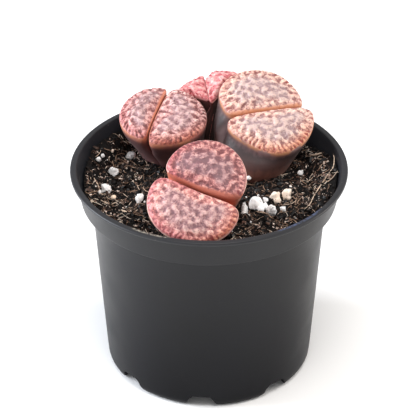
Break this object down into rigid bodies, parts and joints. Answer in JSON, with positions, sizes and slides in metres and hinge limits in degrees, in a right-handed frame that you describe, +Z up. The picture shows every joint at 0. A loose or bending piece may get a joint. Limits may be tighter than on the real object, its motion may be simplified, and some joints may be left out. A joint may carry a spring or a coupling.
{
  "type": "potted lithops",
  "caption": "Tapered plastic nursery pot of dark soil holding a group of living-stone succulents, each a split fleshy cone with a raised net on top, among loose perlite grains.",
  "frame": {"origin": "middle of the pot's foot, on the surface that the pot stands on", "axes": "+Z up along the pot's axis; -Y is the front, where the lowest plant leans over the rim; +X is to the viewer's right"},
  "size_m": [0.085, 0.085, 0.0829],
  "materials": {
    "pot_plastic": "matte",
    "soil": "matte",
    "leaf_rose": "satin",
    "leaf_cream": "satin",
    "leaf_red": "satin",
    "perlite": "matte"
  },
  "bodies": {
    "root": {"pot": "pot_plastic", "soil": "soil", "plant_front": "leaf_rose", "plant_left": "leaf_rose", "plant_right": "leaf_cream", "plant_back": "leaf_red", "perlite_01": "perlite", "perlite_02": "perlite", "perlite_03": "perlite", "perlite_04": "perlite", "perlite_05": "perlite", "perlite_06": "perlite", "perlite_07": "perlite", "perlite_08": "perlite", "perlite_09": "perlite", "perlite_10": "perlite", "perlite_11": "perlite", "perlite_12": "perlite"}
  },
  "joints": []
}
